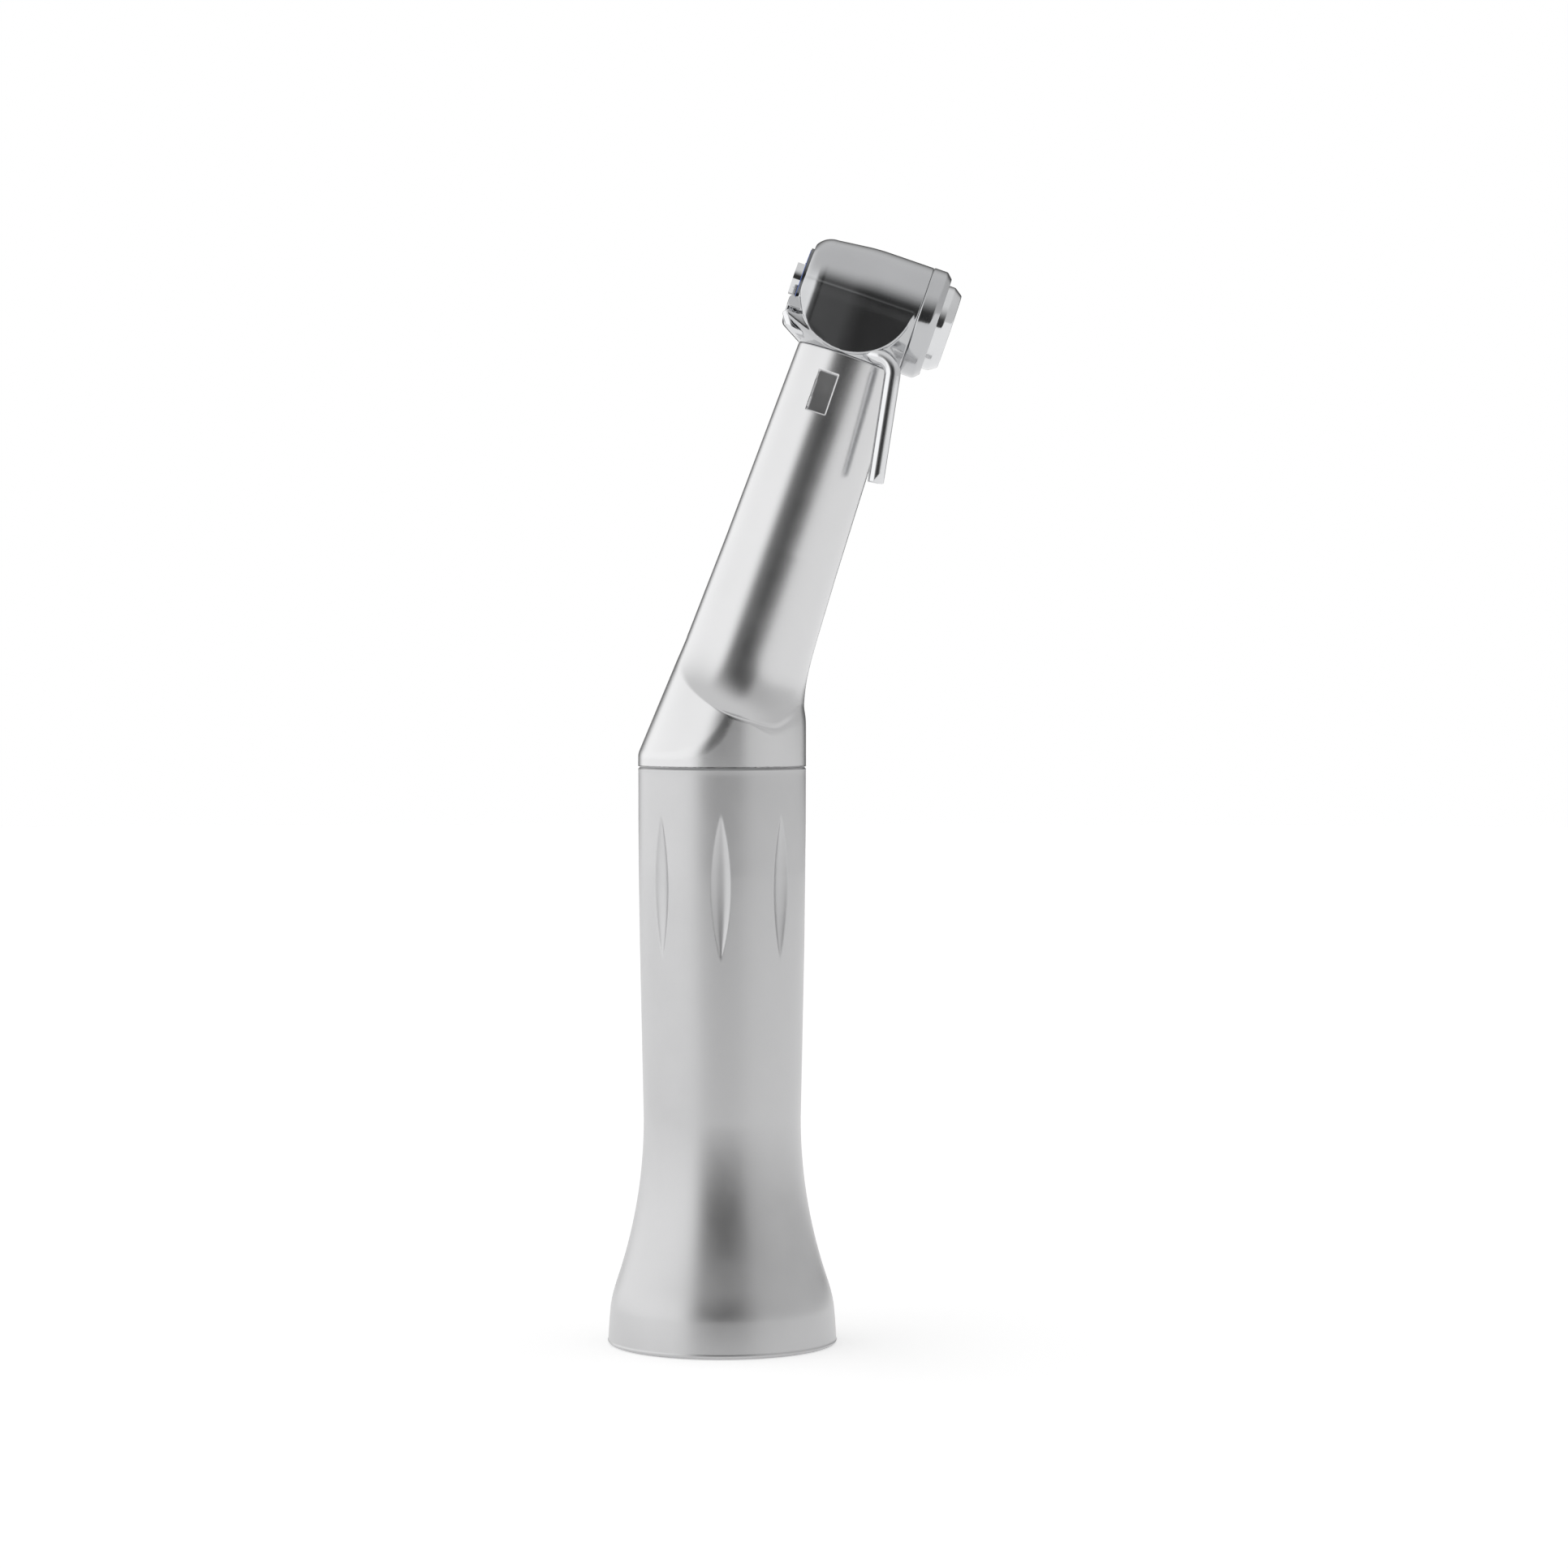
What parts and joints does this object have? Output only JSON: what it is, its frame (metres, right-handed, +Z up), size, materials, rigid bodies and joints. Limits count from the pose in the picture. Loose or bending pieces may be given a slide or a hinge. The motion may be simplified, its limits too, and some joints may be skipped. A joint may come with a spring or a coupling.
{
  "type": "contra-angle dental handpiece",
  "caption": "Speed-reducing contra-angle dental handpiece with a flared grip, a bent neck, a push-button latch head and an irrigation tube beside the head.",
  "frame": {"origin": "centre of the base rim, on the handle axis", "axes": "+Z up the handle; +X is the push-button side and -X the bur side; the neck leans 19 degrees from +Z towards +X"},
  "size_m": [0.0308, 0.02, 0.0959],
  "materials": {
    "satin_steel": "satin, bead blasted",
    "polished_steel": "polished",
    "machined_steel": "turned",
    "gear_steel": "hardened, ground",
    "bearing_steel": "ground",
    "spring_steel": "drawn wire",
    "brass": "turned",
    "bronze": "sintered",
    "blue_plastic": "gloss",
    "black_rubber": "matt"
  },
  "bodies": {
    "handpiece": {"grip_sleeve": "satin_steel", "coupling_sleeve": "polished_steel", "neck_shell": "satin_steel", "head_housing": "polished_steel", "head_cap": "polished_steel", "cap_seal": "black_rubber", "face_nut": "machined_steel", "face_seal_ring": "blue_plastic", "spray_nozzle": "polished_steel", "irrigation_tube": "polished_steel", "gear_sleeve": "machined_steel", "ring_gear": "gear_steel", "lock_nut": "brass", "neck_tube": "machined_steel", "spring_seat": "machined_steel", "output_bush": "bronze", "input_outer_race": "bearing_steel", "output_outer_race": "bearing_steel", "neck_lower_outer_race": "bearing_steel", "neck_upper_outer_race": "bearing_steel", "bur_side_outer_race": "bearing_steel", "button_side_outer_race": "bearing_steel", "button_spring": "spring_steel"},
    "chuck": {"chuck_spindle": "polished_steel", "crown_gear": "gear_steel", "bur_side_inner_race": "bearing_steel", "button_side_inner_race": "bearing_steel"},
    "bur_side_cage": {"bur_side_balls": "bearing_steel"},
    "button_side_cage": {"button_side_balls": "bearing_steel"},
    "jaw_a": {"latch_jaw_a": "gear_steel"},
    "jaw_b": {"latch_jaw_b": "gear_steel"},
    "button": {"push_button": "polished_steel"},
    "neck_drive": {"neck_shaft": "machined_steel", "elbow_gear": "gear_steel", "head_pinion": "gear_steel", "neck_lower_inner_race": "bearing_steel", "neck_upper_inner_race": "bearing_steel"},
    "neck_lower_cage": {"neck_lower_balls": "bearing_steel"},
    "neck_upper_cage": {"neck_upper_balls": "bearing_steel"},
    "output": {"carrier_2": "machined_steel", "planet_pins_2": "gear_steel", "drive_gear": "gear_steel", "output_inner_race": "bearing_steel"},
    "output_cage": {"output_balls": "bearing_steel"},
    "planet_2_a_body": {"planet_2_a": "gear_steel"},
    "planet_2_b_body": {"planet_2_b": "gear_steel"},
    "planet_2_c_body": {"planet_2_c": "gear_steel"},
    "stage_1_carrier": {"carrier_1": "machined_steel", "planet_pins_1": "gear_steel", "sun_2": "gear_steel"},
    "planet_1_a_body": {"planet_1_a": "gear_steel"},
    "planet_1_b_body": {"planet_1_b": "gear_steel"},
    "planet_1_c_body": {"planet_1_c": "gear_steel"},
    "input": {"input_shaft": "machined_steel", "sun_1": "gear_steel", "input_inner_race": "bearing_steel", "dog_pin": "gear_steel", "dog_spring": "spring_steel"},
    "input_cage": {"input_balls": "bearing_steel"},
    "dog": {"drive_dog": "machined_steel"}
  },
  "joints": [
    {"name": "input_spin", "type": "hinge", "parent": "handpiece", "child": "input", "pos_m": [0, 0, 0.028], "axis": [0, 0, 1], "continuous": true},
    {"name": "input_cage_spin", "type": "hinge", "parent": "handpiece", "child": "input_cage", "pos_m": [0, 0, 0.028], "axis": [0, 0, 1], "continuous": true},
    {"name": "carrier_1_spin", "type": "hinge", "parent": "handpiece", "child": "stage_1_carrier", "pos_m": [0, 0, 0.0336], "axis": [0, 0, 1], "continuous": true},
    {"name": "planet_1_a_spin", "type": "hinge", "parent": "stage_1_carrier", "child": "planet_1_a_body", "pos_m": [0.00324, 0, 0.0313], "axis": [0, 0, 1], "continuous": true},
    {"name": "planet_1_b_spin", "type": "hinge", "parent": "stage_1_carrier", "child": "planet_1_b_body", "pos_m": [-0.00162, 0.00281, 0.0313], "axis": [0, 0, 1], "continuous": true},
    {"name": "planet_1_c_spin", "type": "hinge", "parent": "stage_1_carrier", "child": "planet_1_c_body", "pos_m": [-0.00162, -0.00281, 0.0313], "axis": [0, 0, 1], "continuous": true},
    {"name": "output_spin", "type": "hinge", "parent": "handpiece", "child": "output", "pos_m": [0, 0, 0.0486], "axis": [0, 0, 1], "continuous": true},
    {"name": "output_cage_spin", "type": "hinge", "parent": "handpiece", "child": "output_cage", "pos_m": [0, 0, 0.0486], "axis": [0, 0, 1], "continuous": true},
    {"name": "planet_2_a_spin", "type": "hinge", "parent": "output", "child": "planet_2_a_body", "pos_m": [0.00324, 0, 0.0364], "axis": [0, 0, 1], "continuous": true},
    {"name": "planet_2_b_spin", "type": "hinge", "parent": "output", "child": "planet_2_b_body", "pos_m": [-0.00162, 0.00281, 0.0364], "axis": [0, 0, 1], "continuous": true},
    {"name": "planet_2_c_spin", "type": "hinge", "parent": "output", "child": "planet_2_c_body", "pos_m": [-0.00162, -0.00281, 0.0364], "axis": [0, 0, 1], "continuous": true},
    {"name": "neck_spin", "type": "hinge", "parent": "handpiece", "child": "neck_drive", "pos_m": [0, 0, 0.0536], "axis": [0.3256, 0, 0.9455], "continuous": true},
    {"name": "neck_lower_cage_spin", "type": "hinge", "parent": "handpiece", "child": "neck_lower_cage", "pos_m": [0.00135, 0, 0.05752], "axis": [0.3256, 0, 0.9455], "continuous": true},
    {"name": "neck_upper_cage_spin", "type": "hinge", "parent": "handpiece", "child": "neck_upper_cage", "pos_m": [0.01089, 0, 0.08523], "axis": [0.3256, 0, 0.9455], "continuous": true},
    {"name": "chuck_spin", "type": "hinge", "parent": "handpiece", "child": "chuck", "pos_m": [0.01266, 0, 0.09038], "axis": [0.9455, 0, -0.3256], "continuous": true},
    {"name": "bur_side_cage_spin", "type": "hinge", "parent": "handpiece", "child": "bur_side_cage", "pos_m": [0.00841, 0, 0.09185], "axis": [0.9455, 0, -0.3256], "continuous": true},
    {"name": "button_side_cage_spin", "type": "hinge", "parent": "handpiece", "child": "button_side_cage", "pos_m": [0.01602, 0, 0.08922], "axis": [0.9455, 0, -0.3256], "continuous": true},
    {"name": "button_press", "type": "slide", "parent": "handpiece", "child": "button", "axis": [-0.9455, 0, 0.3256], "range_m": [0, 0.0008], "stiffness_N_per_m": 1500, "springref_m": -0.002, "deforming": ["button_spring"]},
    {"name": "jaw_a_slide", "type": "slide", "parent": "chuck", "child": "jaw_a", "axis": [-0.3256, 0, -0.9455], "range_m": [0, 0.00024]},
    {"name": "jaw_b_slide", "type": "slide", "parent": "chuck", "child": "jaw_b", "axis": [0.3256, 0, 0.9455], "range_m": [0, 0.00024]},
    {"name": "dog_slide", "type": "slide", "parent": "input", "child": "dog", "axis": [0, 0, 1], "range_m": [0, 0.001], "stiffness_N_per_m": 400, "springref_m": -0.001, "deforming": ["dog_spring"]}
  ],
  "couplings": [
    {"joint": "input_cage_spin", "follows": "input_spin", "ratio": 0.37273},
    {"joint": "carrier_1_spin", "follows": "input_spin", "ratio": 0.25},
    {"joint": "planet_1_a_spin", "follows": "input_spin", "ratio": -0.75},
    {"joint": "planet_1_b_spin", "follows": "input_spin", "ratio": -0.75},
    {"joint": "planet_1_c_spin", "follows": "input_spin", "ratio": -0.75},
    {"joint": "output_spin", "follows": "input_spin", "ratio": 0.0625},
    {"joint": "output_cage_spin", "follows": "input_spin", "ratio": 0.023295},
    {"joint": "planet_2_a_spin", "follows": "input_spin", "ratio": -0.1875},
    {"joint": "planet_2_b_spin", "follows": "input_spin", "ratio": -0.1875},
    {"joint": "planet_2_c_spin", "follows": "input_spin", "ratio": -0.1875},
    {"joint": "neck_spin", "follows": "input_spin", "ratio": 0.0625},
    {"joint": "neck_lower_cage_spin", "follows": "input_spin", "ratio": 0.024107},
    {"joint": "neck_upper_cage_spin", "follows": "input_spin", "ratio": 0.024107},
    {"joint": "chuck_spin", "follows": "input_spin", "ratio": -0.05},
    {"joint": "bur_side_cage_spin", "follows": "input_spin", "ratio": -0.019751},
    {"joint": "button_side_cage_spin", "follows": "input_spin", "ratio": -0.019751},
    {"joint": "jaw_a_slide", "follows": "button_press", "ratio": 0.3},
    {"joint": "jaw_b_slide", "follows": "button_press", "ratio": 0.3}
  ]
}
